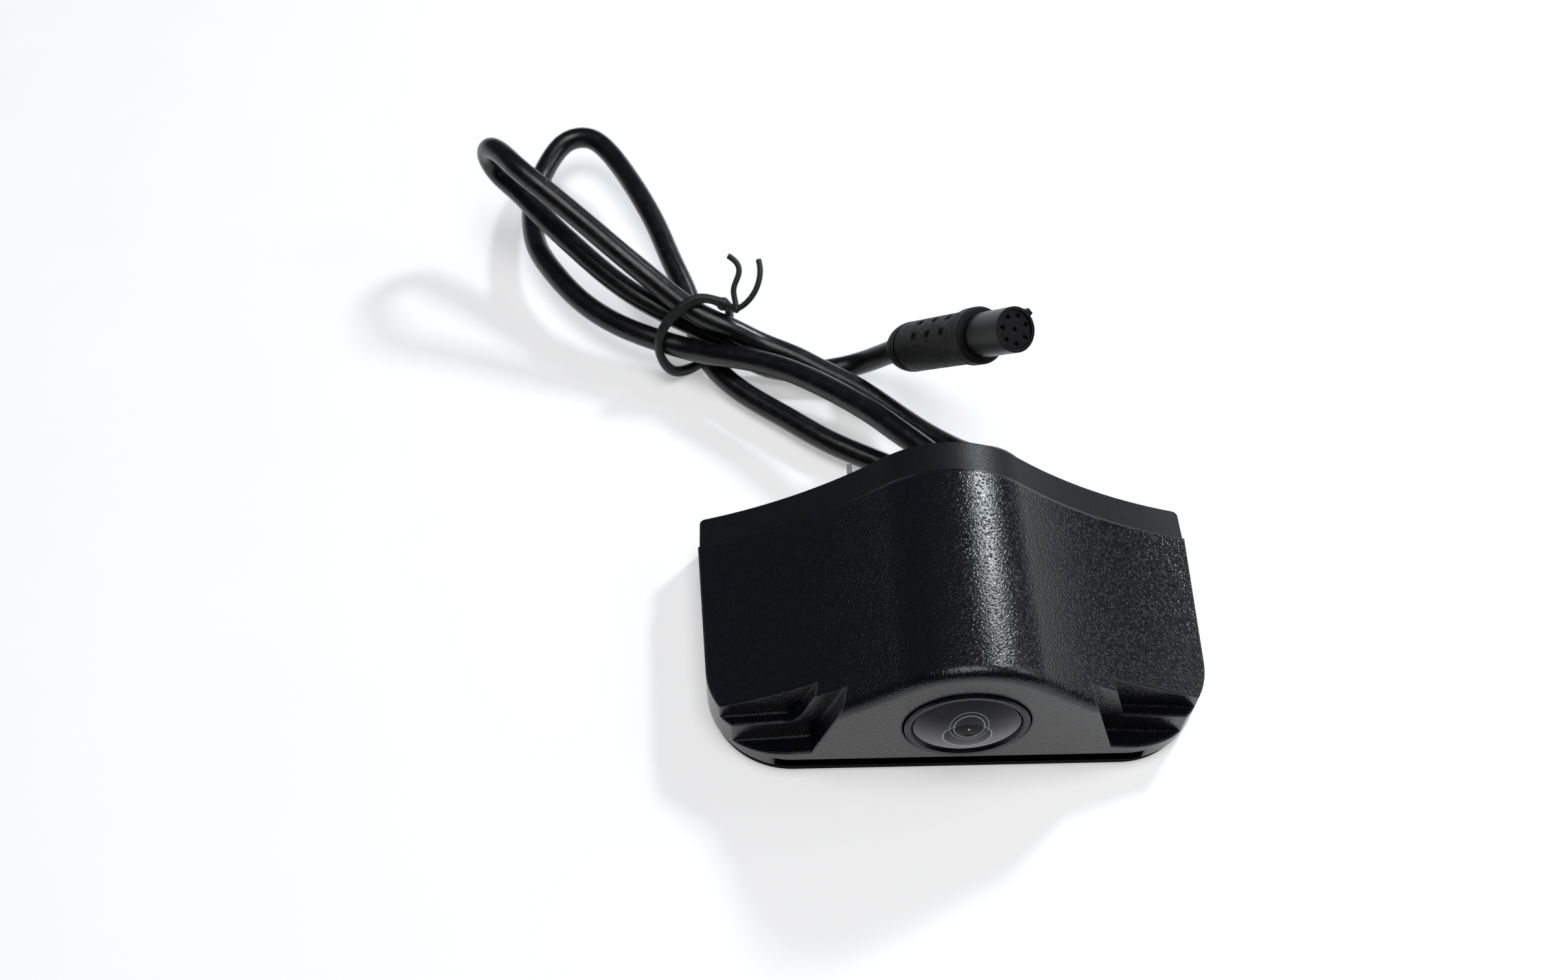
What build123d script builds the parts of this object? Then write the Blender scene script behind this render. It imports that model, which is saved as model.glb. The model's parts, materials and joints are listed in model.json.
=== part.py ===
from build123d import *

import os
from math import cos, radians, sin, sqrt, tan

# Surface-mount backup camera for trucks and trailers, with its coiled lead.
#
# Frame: +Z up, origin on the middle of the flat base. X runs across the housing, which is
# symmetric about the YZ plane. The lens looks along -Y and the mounting face is at +Y.
# All sizes are in millimetres.

# ---- Housing ----
WIDTH = 78.0                # overall width, at the parting line
FRONT_Y = -20.2             # front wall, outside
PART_Y = 14.9               # parting plane between the front cover and the rear base
REAR_Y = 20.2               # mounting face
HUMP = 28.6                 # height of the crown
BASE_Z = 2.1                # underside of the front cover, top of the bottom plate
CROWN_R = 15.8              # convex radius of the crown
CROWN_ANGLE = 39.4          # slope where the crown ends
SHOULDER = 1.85             # straight stretch between crown and flank
FLANK_R = 82.5              # concave radius of the flanks
SIDE_TAPER = 0.058          # narrowing of each side towards the front, mm per mm
CORNER_R = 13.0             # front corners in plan
WALL = 2.0                  # shell thickness
BAND_STEP = 0.25            # the rear base sits this far inside the cover's skin
OVERRUN = 5.0               # how far cutters run past what they cut

# ---- Terraces: two stepped recesses at each front corner ----
TERRACE_LEAN = 18.0         # lean of the inner wall from vertical
TERRACE_FALL = 0.10         # fall of the floor outwards, mm per mm
TREAD_RISE = 24.0           # rise of the treads towards the front
#            riser y, inner tip x, floor z at FLOOR_X, bend radius
TERRACES = ((-14.3, 21.4, 7.7, 3.0), (-16.5, 17.4, 4.0, 6.0))
FLOOR_X = 30.0
NOSE_HALF = 15.6            # half width of the cavity in front of the wings
WING_CAVITY_Y = -12.0       # the wing cavities stop here, behind the terraces

# ---- Lens and module ----
LENS_Z = 14.2               # height of the lens axis
RING_R = 9.03               # outside of the lens ring
RING_PROUD = 0.42           # how far the ring stands out of the front wall
RING_GAP = 0.3              # shadow gap round the ring
GLASS_R = 7.8               # visible radius of the front lens
THREAD_CLEARANCE = 0.02     # threads are plain surfaces this far apart
MODULE_HALF = 9.5           # half side of the square module housing
MODULE_WALL = 1.3
MODULE_CORNER_R = 3.0
BOARD_HALF = 8.0
POST_AT = 7.0               # module screw posts, from the lens axis in x and z
POST_R = 1.6
EAR_X = 12.8                # module fixing ears
# Depths behind the front wall's outer face, along the lens axis
EAR_U = 5.4
HOUSING_END_U = 23.5
GASKET_U = 0.5
CAP_U = 1.8

# ---- Lead ----
CABLE_R = 2.0
CABLE_CLEARANCE = 0.05
TAIL_PIVOT = Vector(-33.4, 60.3, 6.0)
TAIL_HEADING = Vector(0.88, -0.37, -0.38)
BOOT_REAR = Vector(-4.05, 54.2, 11.1)
CONNECTOR_FRONT = Vector(10.7, 35.9, 36.0)
PIVOT_GAP = 0.5
BOOT_GAP = 0.9

# ---- Connector: radii, and distances from the boot's rear end ----
GRIP_R = 4.3
DOME_LENGTH = 5.5
COLLAR_R = 4.65
COLLAR_AT = 22.2
COLLAR_LENGTH = 3.0
PLUG_R = 3.6
PLUG_BORE_R = 3.1
CONTACT_CIRCLE_R = 2.25
CONTACT_R = 0.42
CONTACT_COUNT = 7


# ---- Shared geometry ----
def across(y):
    """Plane at the given y, local x = X, local y = Z, facing the front."""
    return Plane.XZ.offset(-y)


def half_width(y):
    return WIDTH / 2 - SIDE_TAPER * (PART_Y - y)


crown_end = (CROWN_R * sin(radians(CROWN_ANGLE)), HUMP - CROWN_R * (1 - cos(radians(CROWN_ANGLE))))
flank_start = (
    crown_end[0] + SHOULDER * cos(radians(CROWN_ANGLE)),
    crown_end[1] - SHOULDER * sin(radians(CROWN_ANGLE)),
)
flank_centre = (
    flank_start[0] + FLANK_R * sin(radians(CROWN_ANGLE)),
    flank_start[1] + FLANK_R * cos(radians(CROWN_ANGLE)),
)


def flank_height(x, inset=0.0):
    """Height of the concave flank at a distance x from the middle."""
    radius = FLANK_R + inset
    return flank_centre[1] - sqrt(radius**2 - (flank_centre[0] - x) ** 2)


def bell_face(y, inset, floor, half):
    """Bell-shaped section at y, pulled in by inset, from the floor up, out to +-half."""
    slope = radians(CROWN_ANGLE)
    crown = CROWN_R - inset
    flank = FLANK_R + inset
    crown_point = (crown * sin(slope), HUMP - CROWN_R + crown * cos(slope))
    flank_point = (
        flank_centre[0] - flank * sin(slope),
        flank_centre[1] - flank * cos(slope),
    )
    edge = (half, flank_height(half, inset))
    middle_x = (flank_point[0] + half) / 2
    middle = (middle_x, flank_height(middle_x, inset))
    with BuildSketch(across(y)) as section:
        with BuildLine():
            ThreePointArc((-crown_point[0], crown_point[1]), (0, HUMP - inset), crown_point)
            for side in (-1, 1):
                Line((side * crown_point[0], crown_point[1]), (side * flank_point[0], flank_point[1]))
                ThreePointArc(
                    (side * flank_point[0], flank_point[1]),
                    (side * middle[0], middle[1]),
                    (side * edge[0], edge[1]),
                )
                Line((side * edge[0], edge[1]), (side * half, floor))
            Line((-half, floor), (half, floor))
        make_face()
    return section.sketch


def plan_face(z, inset, rear_y):
    """Outline of the housing seen from above, with its rounded front corners."""
    front_y = FRONT_Y + inset
    front_half = half_width(front_y) - inset
    rear_half = half_width(rear_y) - inset
    with BuildSketch(Plane.XY.offset(z)) as outline:
        with BuildLine():
            Polyline(
                (-rear_half, rear_y),
                (rear_half, rear_y),
                (front_half, front_y),
                (-front_half, front_y),
                close=True,
            )
        make_face()
        fillet(outline.vertices().sort_by(Axis.Y)[:2], radius=CORNER_R - inset)
    return outline.sketch


def terrace_face(side, riser_y, tip_x, floor_z, bend_r):
    """Everything above one terrace's floor and outside its leaning inner wall."""
    lean = tan(radians(TERRACE_LEAN))
    top = HUMP + OVERRUN
    outer = WIDTH / 2 + OVERRUN
    tip_z = flank_height(tip_x)
    wall_foot = tip_x + tip_z * lean
    corner_x = (wall_foot - (floor_z + FLOOR_X * TERRACE_FALL) * lean) / (1 - TERRACE_FALL * lean)
    corner_z = floor_z - (corner_x - FLOOR_X) * TERRACE_FALL
    with BuildSketch(across(riser_y)) as recess:
        with BuildLine():
            Polyline(
                (side * (tip_x - (top - tip_z) * lean), top),
                (side * corner_x, corner_z),
                (side * outer, floor_z - (outer - FLOOR_X) * TERRACE_FALL),
                (side * outer, top),
                close=True,
            )
        make_face()
        lowest_inner = recess.vertices().sort_by(Axis.Z)[:2].sort_by(Axis.X)
        fillet(lowest_inner[0 if side > 0 else -1], radius=bend_r)
    return recess.sketch


def peg(start, direction, radius, length):
    """A plain round bar."""
    with BuildSketch(Plane(origin=start, z_dir=direction)) as end:
        Circle(radius)
    return extrude(end.sketch, amount=length, mode=Mode.PRIVATE)


# Fixing points
COVER_SCREWS = [(side * x, z) for side in (-1, 1) for x, z in ((34.0, 6.8), (14.0, 16.3))]
COVER_SCREW_R = 1.2
COVER_BOSS_R = 2.4
RIB_HEIGHT = 4.4            # ribs tying the upper bosses to the shell
BASE_SCREWS = [(side * 30.0, y) for side in (-1, 1) for y in (-6.5, 2.0)]
BASE_SCREW_R = 1.0
INSERTS = [(-25.0, 6.5), (25.0, 6.5)]
INSERT_R = 2.6
INSERT_THREAD_R = 1.65
INSERT_LENGTH = 6.0
REAR_WALL_Y = 17.7          # inner face of the rear base's back wall
REAR_BOSS_Y = 13.0
GROMMET_NECK_R = 3.8
COVER_SCREW_TIP_Y = 8.0
MODULE_SCREW_R = 0.95
MODULE_SCREW_TIP_Y = -17.4
TAB_X = -14.9
TAB_SIZE = (0.8, 4.4, 1.2)
TAB_CENTRE = (TAB_X, 20.6, 19.5)


# ---- Front cover: the textured shell ----
with BuildPart() as cover_cavity:
    extrude(bell_face(PART_Y + 1, WALL, 0, WIDTH / 2 + OVERRUN), amount=PART_Y + 1 - FRONT_Y - WALL)
    extrude(plan_face(0, WALL, PART_Y + 1), amount=HUMP, mode=Mode.INTERSECT)
    for side in (-1, 1):
        wing = WIDTH / 2 - NOSE_HALF
        with Locations((side * (NOSE_HALF + wing / 2), WING_CAVITY_Y - 10, HUMP / 2)):
            Box(wing, 20, HUMP + 2, mode=Mode.SUBTRACT)

with BuildPart() as front_cover:
    extrude(bell_face(PART_Y, 0, BASE_Z, WIDTH / 2 + 1), amount=PART_Y - FRONT_Y)
    extrude(plan_face(0, 0, PART_Y), amount=HUMP + 1, mode=Mode.INTERSECT)
    for riser_y, tip_x, floor_z, bend_r in TERRACES:
        for side in (-1, 1):
            extrude(
                terrace_face(side, riser_y, tip_x, floor_z, bend_r),
                amount=OVERRUN + 5,
                dir=(0, -cos(radians(TREAD_RISE)), sin(radians(TREAD_RISE))),
                mode=Mode.SUBTRACT,
            )
    brow = front_cover.edges().filter_by_position(Axis.Y, FRONT_Y - 0.01, FRONT_Y + 0.01)
    fillet(brow.filter_by_position(Axis.Z, flank_height(18), HUMP + 1), radius=1.6)
    add(cover_cavity.part, mode=Mode.SUBTRACT)
    with BuildSketch(across(FRONT_Y - 1)):
        with Locations((0, LENS_Z)):
            Circle(RING_R + RING_GAP)
    extrude(amount=-(WALL + 2), mode=Mode.SUBTRACT)
    # bosses for the module's two fixing screws
    with BuildSketch(across(-14.85)):
        with Locations((-EAR_X, LENS_Z), (EAR_X, LENS_Z)):
            Circle(2.1)
    extrude(amount=-14.85 - FRONT_Y - 1)
    with BuildSketch(across(-14.85)):
        with Locations((-EAR_X, LENS_Z), (EAR_X, LENS_Z)):
            Circle(MODULE_SCREW_R + THREAD_CLEARANCE)
    extrude(amount=-14.85 - MODULE_SCREW_TIP_Y + 0.2, mode=Mode.SUBTRACT)
    # bosses for the screws that come in through the rear base
    with BuildSketch(across(PART_Y)):
        with Locations(*COVER_SCREWS):
            Circle(COVER_BOSS_R)
        with Locations(*[(x, z + RIB_HEIGHT / 2) for x, z in COVER_SCREWS if z > LENS_Z]):
            Rectangle(1.6, RIB_HEIGHT)
    extrude(amount=PART_Y - 5)
    with BuildSketch(across(PART_Y)):
        with Locations(*COVER_SCREWS):
            Circle(COVER_SCREW_R + THREAD_CLEARANCE)
    extrude(amount=PART_Y - COVER_SCREW_TIP_Y + 0.5, mode=Mode.SUBTRACT)
    # bosses for the screws that come up through the bottom plate
    with BuildSketch(Plane.XY.offset(BASE_Z)):
        with Locations(*BASE_SCREWS):
            Circle(COVER_BOSS_R)
    extrude(amount=8.2)
    with BuildSketch(Plane.XY.offset(BASE_Z)):
        with Locations(*BASE_SCREWS):
            Circle(BASE_SCREW_R + THREAD_CLEARANCE)
    extrude(amount=5.2, mode=Mode.SUBTRACT)
front_cover.part.label = "front_cover"


# ---- Rear base: the smooth band and back wall ----
SEAL_INSET = 0.9
SEAL_WIDTH = 0.8
SEAL_DEPTH = 0.7
rear_half = half_width(PART_Y) - BAND_STEP
with BuildPart() as rear_base:
    extrude(bell_face(REAR_Y, BAND_STEP, 0, rear_half), amount=REAR_Y - PART_Y)
    fillet(rear_base.edges().filter_by(Axis.Z).group_by(Axis.Y)[-1], radius=0.8)
    hollow = BAND_STEP + WALL
    extrude(
        bell_face(REAR_WALL_Y, hollow, WALL, half_width(PART_Y) - hollow),
        amount=REAR_WALL_Y - PART_Y,
        mode=Mode.SUBTRACT,
    )
    # pillars for the cover screws, bosses for the mounting inserts
    with BuildSketch(across(REAR_WALL_Y)):
        with Locations(*COVER_SCREWS):
            Circle(COVER_BOSS_R)
    extrude(amount=REAR_WALL_Y - PART_Y)
    with BuildSketch(across(REAR_WALL_Y)):
        with Locations(*INSERTS):
            Circle(INSERT_R + 0.9)
    extrude(amount=REAR_WALL_Y - REAR_BOSS_Y)
    # groove for the cover seal
    groove = bell_face(PART_Y + SEAL_DEPTH, SEAL_INSET, SEAL_INSET, rear_half - SEAL_INSET + BAND_STEP)
    groove_core = bell_face(
        PART_Y + SEAL_DEPTH,
        SEAL_INSET + SEAL_WIDTH,
        SEAL_INSET + SEAL_WIDTH,
        rear_half - SEAL_INSET - SEAL_WIDTH + BAND_STEP,
    )
    extrude(groove - groove_core, amount=SEAL_DEPTH, mode=Mode.SUBTRACT)
    # screw holes with recesses for the heads
    with BuildSketch(across(REAR_Y)):
        with Locations(*COVER_SCREWS):
            Circle(COVER_SCREW_R + 0.15)
    extrude(amount=REAR_Y - PART_Y, mode=Mode.SUBTRACT)
    with BuildSketch(across(REAR_Y)):
        with Locations(*COVER_SCREWS):
            Circle(2.3)
    extrude(amount=1.7, mode=Mode.SUBTRACT)
    with BuildSketch(across(REAR_Y)):
        with Locations(*INSERTS):
            Circle(INSERT_R + THREAD_CLEARANCE)
    extrude(amount=INSERT_LENGTH + 0.3, mode=Mode.SUBTRACT)
    with BuildSketch(across(REAR_Y)):
        with Locations((0, LENS_Z)):
            Circle(GROMMET_NECK_R + THREAD_CLEARANCE)
    extrude(amount=REAR_Y - REAR_WALL_Y, mode=Mode.SUBTRACT)
    with Locations(TAB_CENTRE):
        Box(TAB_SIZE[0] + 0.04, TAB_SIZE[1] + 0.04, TAB_SIZE[2] + 0.04, mode=Mode.SUBTRACT)
rear_base.part.label = "rear_base"

with BuildPart() as cover_seal:
    extrude(groove - groove_core, amount=SEAL_DEPTH)
cover_seal.part.label = "cover_seal"


# ---- Bottom plate ----
PLATE_INSET = 0.5
with BuildPart() as bottom_plate:
    extrude(plan_face(0, PLATE_INSET, PART_Y), amount=BASE_Z)
    with Locations(*[(x, y, 0) for x, y in BASE_SCREWS]):
        Cylinder(2.4, 1.3, align=(Align.CENTER, Align.CENTER, Align.MIN), mode=Mode.SUBTRACT)
        Cylinder(1.2, BASE_Z, align=(Align.CENTER, Align.CENTER, Align.MIN), mode=Mode.SUBTRACT)
bottom_plate.part.label = "bottom_plate"


# ---- Housing fixings ----
def cross_slot(face_plane, size, depth):
    """Driver recess cut into a screw head on the given plane."""
    with BuildSketch(face_plane) as slot:
        Rectangle(size, size / 4)
        Rectangle(size / 4, size)
    return extrude(slot.sketch, amount=-depth, mode=Mode.PRIVATE)


with BuildPart() as cover_screws:
    for x, z in COVER_SCREWS:
        head_plane = Plane(origin=(x, REAR_Y - 0.3, z), z_dir=(0, 1, 0))
        add(peg((x, REAR_Y - 0.3, z), (0, -1, 0), 2.1, 1.35))
        add(peg((x, REAR_Y - 1, z), (0, -1, 0), COVER_SCREW_R, REAR_Y - 1 - COVER_SCREW_TIP_Y))
        add(cross_slot(head_plane, 2.2, 0.7), mode=Mode.SUBTRACT)
cover_screws.part.label = "cover_screws"

with BuildPart() as base_screws:
    for x, y in BASE_SCREWS:
        add(peg((x, y, 0.2), (0, 0, 1), 2.2, 1.05))
        add(peg((x, y, 0.5), (0, 0, 1), BASE_SCREW_R, 6.3))
        add(cross_slot(Plane(origin=(x, y, 0.2), z_dir=(0, 0, -1)), 2.2, 0.6), mode=Mode.SUBTRACT)
base_screws.part.label = "base_screws"

with BuildPart() as mount_inserts:
    for x, z in INSERTS:
        add(peg((x, REAR_Y, z), (0, -1, 0), INSERT_R, INSERT_LENGTH))
        add(peg((x, REAR_Y, z), (0, -1, 0), INSERT_THREAD_R, INSERT_LENGTH), mode=Mode.SUBTRACT)
mount_inserts.part.label = "mount_inserts"

with BuildPart() as locating_tab:
    with Locations(TAB_CENTRE):
        Box(*TAB_SIZE)
    fillet(locating_tab.edges().filter_by(Axis.X).group_by(Axis.Y)[-1], radius=0.5)
locating_tab.part.label = "locating_tab"


# ---- Lens: turned parts about the lens axis ----
# Sections are drawn with x = radius and y = depth u behind the front wall.
lens_axis = Axis((0, FRONT_Y, LENS_Z), (0, 1, 0))
lens_plane = Plane(origin=(0, FRONT_Y, LENS_Z), x_dir=(1, 0, 0), z_dir=(0, 0, 1))


def section_face(*points):
    """Closed half section from (radius, depth) corners."""
    with BuildSketch(lens_plane) as section:
        with BuildLine():
            Polyline(*points, close=True)
        make_face()
    return section.sketch


def lens_face(radius, front_u, rear_u, front_sag, rear_sag):
    """Half section of a lens element; a positive sag bulges, a negative one hollows."""
    with BuildSketch(lens_plane) as section:
        with BuildLine():
            front = TangentArc((0, front_u - front_sag), (radius, front_u), tangent=(1, 0))
            rear = TangentArc((0, rear_u + rear_sag), (radius, rear_u), tangent=(1, 0))
            Line(front @ 1, rear @ 1)
            Line(front @ 0, rear @ 0)
        make_face()
    return section.sketch


RING_BORE_R = 8.35
LENS_SEAT_U = 0.3
LENS_BACK_U = 1.9
FLANGE_U = 2.9
with BuildPart() as lens_ring:
    revolve(
        section_face(
            (GLASS_R, 0.1),
            (GLASS_R + 0.35, -RING_PROUD),
            (RING_R - 0.25, -RING_PROUD),
            (RING_R, 0.25 - RING_PROUD),
            (RING_R, EAR_U - 0.05),
            (RING_BORE_R, EAR_U - 0.05),
            (RING_BORE_R, LENS_SEAT_U),
            (GLASS_R, LENS_SEAT_U),
        ),
        axis=lens_axis,
    )
lens_ring.part.label = "lens_ring"

DOME_R = GLASS_R - 0.05
DOME_EDGE_U = -0.12
DOME_SAG = 1.4
HOLLOW_R = 5.0
HOLLOW_SAG = 1.9
with BuildPart() as front_lens:
    with BuildSketch(lens_plane):
        with BuildLine():
            dome = TangentArc((0, DOME_EDGE_U - DOME_SAG), (DOME_R, DOME_EDGE_U), tangent=(1, 0))
            cup = TangentArc((0, LENS_BACK_U - HOLLOW_SAG), (HOLLOW_R, LENS_BACK_U), tangent=(1, 0))
            Polyline(
                dome @ 1,
                (DOME_R, LENS_SEAT_U + 0.02),
                (RING_BORE_R - 0.1, LENS_SEAT_U + 0.02),
                (RING_BORE_R - 0.1, LENS_BACK_U),
                cup @ 1,
            )
            Line(dome @ 0, cup @ 0)
        make_face()
    revolve(axis=lens_axis)
front_lens.part.label = "front_lens"

O_RING_R = 0.48
with BuildPart() as lens_o_ring:
    with BuildSketch(lens_plane):
        with Locations((7.4, (LENS_BACK_U + FLANGE_U) / 2)):
            Circle(O_RING_R)
    revolve(axis=lens_axis)
lens_o_ring.part.label = "lens_o_ring"

BARREL_R = 6.0
BARREL_BORE_R = 4.3
BARREL_END_U = 13.9
with BuildPart() as lens_barrel:
    revolve(
        section_face(
            (5.2, FLANGE_U),
            (RING_BORE_R - 0.1, FLANGE_U),
            (RING_BORE_R - 0.1, FLANGE_U + 1.3),
            (BARREL_R, FLANGE_U + 1.3),
            (BARREL_R, BARREL_END_U),
            (BARREL_BORE_R, BARREL_END_U),
            (BARREL_BORE_R, 5.4),
            (2.2, 5.4),
            (2.2, 5.0),
            (3.0, 4.7),
            (3.0, 4.3),
            (3.5, 4.3),
            (3.5, 3.9),
        ),
        axis=lens_axis,
    )
lens_barrel.part.label = "lens_barrel"

ELEMENT_R = BARREL_BORE_R - 0.05
with BuildPart() as second_lens:
    revolve(lens_face(ELEMENT_R, 5.5, 7.0, -0.4, -0.3), axis=lens_axis)
second_lens.part.label = "second_lens"

with BuildPart() as lens_spacer:
    revolve(section_face((2.9, 7.05), (ELEMENT_R, 7.05), (ELEMENT_R, 8.6), (2.9, 8.6)), axis=lens_axis)
lens_spacer.part.label = "lens_spacer"

with BuildPart() as third_lens:
    revolve(lens_face(ELEMENT_R, 8.85, 10.0, 0.2, 0.2), axis=lens_axis)
third_lens.part.label = "third_lens"

with BuildPart() as rear_lens:
    revolve(lens_face(ELEMENT_R, 10.9, 12.3, 0.6, 0.3), axis=lens_axis)
rear_lens.part.label = "rear_lens"

with BuildPart() as lens_retainer:
    revolve(section_face((3.0, 12.7), (ELEMENT_R, 12.4), (ELEMENT_R, 13.6), (3.0, 13.6)), axis=lens_axis)
lens_retainer.part.label = "lens_retainer"


# ---- Camera module ----
HOLDER_R = 7.2
HOLDER_FRONT_U = 9.0
SENSOR_BOARD_U = 16.6
BOARD_T = 1.0
BOARD_GAP = 2.0
POWER_BOARD_U = SENSOR_BOARD_U + BOARD_T + BOARD_GAP
with BuildPart() as lens_holder:
    revolve(
        section_face(
            (BARREL_R + 0.05, HOLDER_FRONT_U),
            (HOLDER_R, HOLDER_FRONT_U),
            (HOLDER_R, SENSOR_BOARD_U),
            (5.2, SENSOR_BOARD_U),
            (5.2, 14.5),
            (BARREL_R + 0.05, 14.5),
        ),
        axis=lens_axis,
    )
lens_holder.part.label = "lens_holder"

with BuildPart() as ir_filter:
    revolve(section_face((0, 14.18), (BARREL_R, 14.18), (BARREL_R, 14.48), (0, 14.48)), axis=lens_axis)
ir_filter.part.label = "ir_filter"


def module_plane(u):
    """Plane across the module at depth u, centred on the lens axis, facing the front."""
    return Plane(origin=(0, FRONT_Y + u, LENS_Z), x_dir=(1, 0, 0), z_dir=(0, -1, 0))


def square_face(u, half, corner_r):
    with BuildSketch(module_plane(u)) as square:
        RectangleRounded(2 * half, 2 * half, corner_r)
    return square.sketch


def notched_face(u, half):
    """Square with its corners cut away to clear the screw posts."""
    with BuildSketch(module_plane(u)) as notched:
        Rectangle(2 * half, 2 * half)
        with GridLocations(2 * BOARD_HALF, 2 * BOARD_HALF, 2, 2):
            Rectangle(2 * (BOARD_HALF - POST_AT + POST_R + 0.2), 2 * (BOARD_HALF - POST_AT + POST_R + 0.2),
                      mode=Mode.SUBTRACT)
    return notched.sketch


def round_posts(u, radius):
    """Circles at the four corner posts."""
    with BuildSketch(module_plane(u)) as posts:
        with GridLocations(2 * POST_AT, 2 * POST_AT, 2, 2):
            Circle(radius)
    return posts.sketch


with BuildPart() as module_housing:
    extrude(square_face(HOUSING_END_U, MODULE_HALF, MODULE_CORNER_R), amount=HOUSING_END_U - EAR_U)
    extrude(
        square_face(HOUSING_END_U, MODULE_HALF - MODULE_WALL, MODULE_CORNER_R - MODULE_WALL),
        amount=HOUSING_END_U - EAR_U - 1.5,
        mode=Mode.SUBTRACT,
    )
    extrude(round_posts(HOUSING_END_U, POST_R), amount=HOUSING_END_U - EAR_U - 1.5)
    extrude(round_posts(HOUSING_END_U, 0.82), amount=8.2, mode=Mode.SUBTRACT)
    with BuildSketch(module_plane(EAR_U + 2)):
        SlotCenterToCenter(2 * EAR_X, 4.4)
        with Locations((-EAR_X, 0), (EAR_X, 0)):
            Circle(1.1, mode=Mode.SUBTRACT)
        Rectangle(2 * (MODULE_HALF - 1), 6, mode=Mode.SUBTRACT)
    extrude(amount=2)
    with BuildSketch(module_plane(EAR_U)):
        Circle(RING_BORE_R - 0.1)
    extrude(amount=1.1)
    with BuildSketch(module_plane(EAR_U + 2)):
        Circle(BARREL_R + 0.05)
    extrude(amount=4, mode=Mode.SUBTRACT)
module_housing.part.label = "module_housing"

with BuildPart() as sensor_board:
    extrude(notched_face(SENSOR_BOARD_U + BOARD_T, BOARD_HALF), amount=BOARD_T)
sensor_board.part.label = "sensor_board"

with BuildPart() as image_sensor:
    with BuildSketch(module_plane(SENSOR_BOARD_U)):
        Rectangle(7.2, 6.0)
    extrude(amount=0.9)
image_sensor.part.label = "image_sensor"

with BuildPart() as power_board:
    extrude(notched_face(POWER_BOARD_U + BOARD_T, BOARD_HALF), amount=BOARD_T)
power_board.part.label = "power_board"

with BuildPart() as board_posts:
    with BuildSketch(module_plane(POWER_BOARD_U)):
        with Locations((-6.6, 0), (6.6, 0)):
            Circle(1.2)
    extrude(amount=BOARD_GAP)
board_posts.part.label = "board_posts"

with BuildPart() as board_link:
    with BuildSketch(module_plane(POWER_BOARD_U)):
        with Locations((0, -5.5)):
            Rectangle(8.0, 2.2)
    extrude(amount=BOARD_GAP)
board_link.part.label = "board_link"

SOCKET_U = POWER_BOARD_U + BOARD_T
SOCKET_DEPTH = 1.6
with BuildPart() as cable_socket:
    with BuildSketch(module_plane(SOCKET_U + SOCKET_DEPTH)):
        Rectangle(6.5, 3.6)
    extrude(amount=SOCKET_DEPTH)
cable_socket.part.label = "cable_socket"

with BuildPart() as board_parts:
    with BuildSketch(module_plane(SOCKET_U + 1.2)):
        with Locations((-5.2, 4.4), (5.4, 3.8)):
            Rectangle(2.6, 2.2)
    extrude(amount=1.2)
    with BuildSketch(module_plane(SOCKET_U + 0.9)):
        with GridLocations(3.2, 1, 3, 1):
            with Locations((0, -5.2)):
                Rectangle(1.6, 0.9)
    extrude(amount=0.9)
board_parts.part.label = "board_parts"

CAP_FRONT_U = HOUSING_END_U + GASKET_U
with BuildPart() as module_gasket:
    extrude(square_face(CAP_FRONT_U, MODULE_HALF, MODULE_CORNER_R), amount=GASKET_U)
    extrude(notched_face(CAP_FRONT_U, MODULE_HALF - MODULE_WALL), amount=GASKET_U, mode=Mode.SUBTRACT)
    extrude(round_posts(CAP_FRONT_U, 1.0), amount=GASKET_U, mode=Mode.SUBTRACT)
module_gasket.part.label = "module_gasket"

CABLE_END_Y = FRONT_Y + CAP_FRONT_U + 0.3
with BuildPart() as module_back_cap:
    extrude(square_face(CAP_FRONT_U + CAP_U, MODULE_HALF, MODULE_CORNER_R), amount=CAP_U)
    with BuildSketch(module_plane(CAP_FRONT_U + CAP_U + 3)):
        Circle(3.6)
    extrude(amount=3)
    with BuildSketch(module_plane(CAP_FRONT_U + CAP_U + 3)):
        Circle(CABLE_R + CABLE_CLEARANCE)
    extrude(amount=CAP_U + 3, mode=Mode.SUBTRACT)
    extrude(round_posts(CAP_FRONT_U + CAP_U, 1.0), amount=CAP_U, mode=Mode.SUBTRACT)
module_back_cap.part.label = "module_back_cap"

with BuildPart() as cap_screws:
    for x in (-POST_AT, POST_AT):
        for z in (-POST_AT, POST_AT):
            head = (x, FRONT_Y + CAP_FRONT_U + CAP_U, LENS_Z + z)
            add(peg(head, (0, 1, 0), 1.6, 1.0))
            add(peg(head, (0, -1, 0), 0.8, 9.5))
cap_screws.part.label = "cap_screws"

with BuildPart() as module_screws:
    for x in (-EAR_X, EAR_X):
        head = (x, FRONT_Y + EAR_U + 2, LENS_Z)
        add(peg(head, (0, 1, 0), 1.8, 1.2))
        add(peg(head, (0, -1, 0), MODULE_SCREW_R, FRONT_Y + EAR_U + 2 - MODULE_SCREW_TIP_Y))
module_screws.part.label = "module_screws"


# ---- Lead: grommet, wires, coiled cable, twist tie ----
with BuildPart() as cable_grommet:
    revolve(
        section_face(
            (CABLE_R + CABLE_CLEARANCE, 36.6),
            (5.2, 36.6),
            (5.2, REAR_WALL_Y - FRONT_Y),
            (GROMMET_NECK_R, REAR_WALL_Y - FRONT_Y),
            (GROMMET_NECK_R, REAR_Y - FRONT_Y),
            (4.9, REAR_Y - FRONT_Y),
            (4.9, 41.4),
            (3.1, 46.4),
            (CABLE_R + CABLE_CLEARANCE, 46.4),
        ),
        axis=lens_axis,
    )
cable_grommet.part.label = "cable_grommet"

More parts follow.
